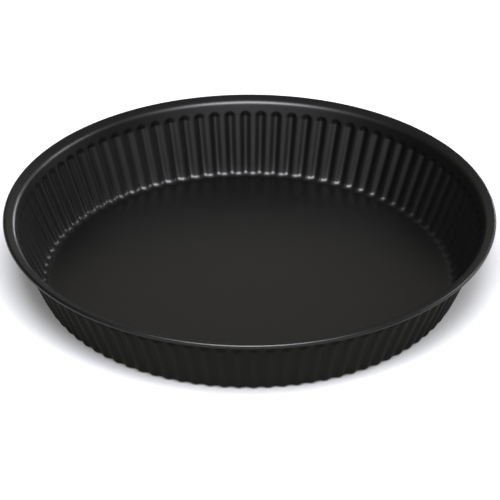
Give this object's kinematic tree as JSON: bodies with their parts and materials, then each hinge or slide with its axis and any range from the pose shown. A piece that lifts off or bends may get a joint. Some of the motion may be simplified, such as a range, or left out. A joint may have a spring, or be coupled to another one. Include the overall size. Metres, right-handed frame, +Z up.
{
  "type": "tart pan",
  "caption": "Round shallow non-stick tart pan with a fluted, outward-leaning wall and a narrow sloping rim flange with a rolled edge.",
  "frame": {"origin": "centre of the base's flat underside", "axes": "+Z up along the pan's axis through its open top; +X points through the middle of a ridge, +Y through the middle of a groove"},
  "size_m": [0.29, 0.29, 0.044],
  "materials": {
    "non_stick_coating": "satin black non-stick coating over pressed carbon-steel sheet, same on both sides"
  },
  "bodies": {
    "root": {"pan_shell": "non_stick_coating"}
  },
  "joints": []
}
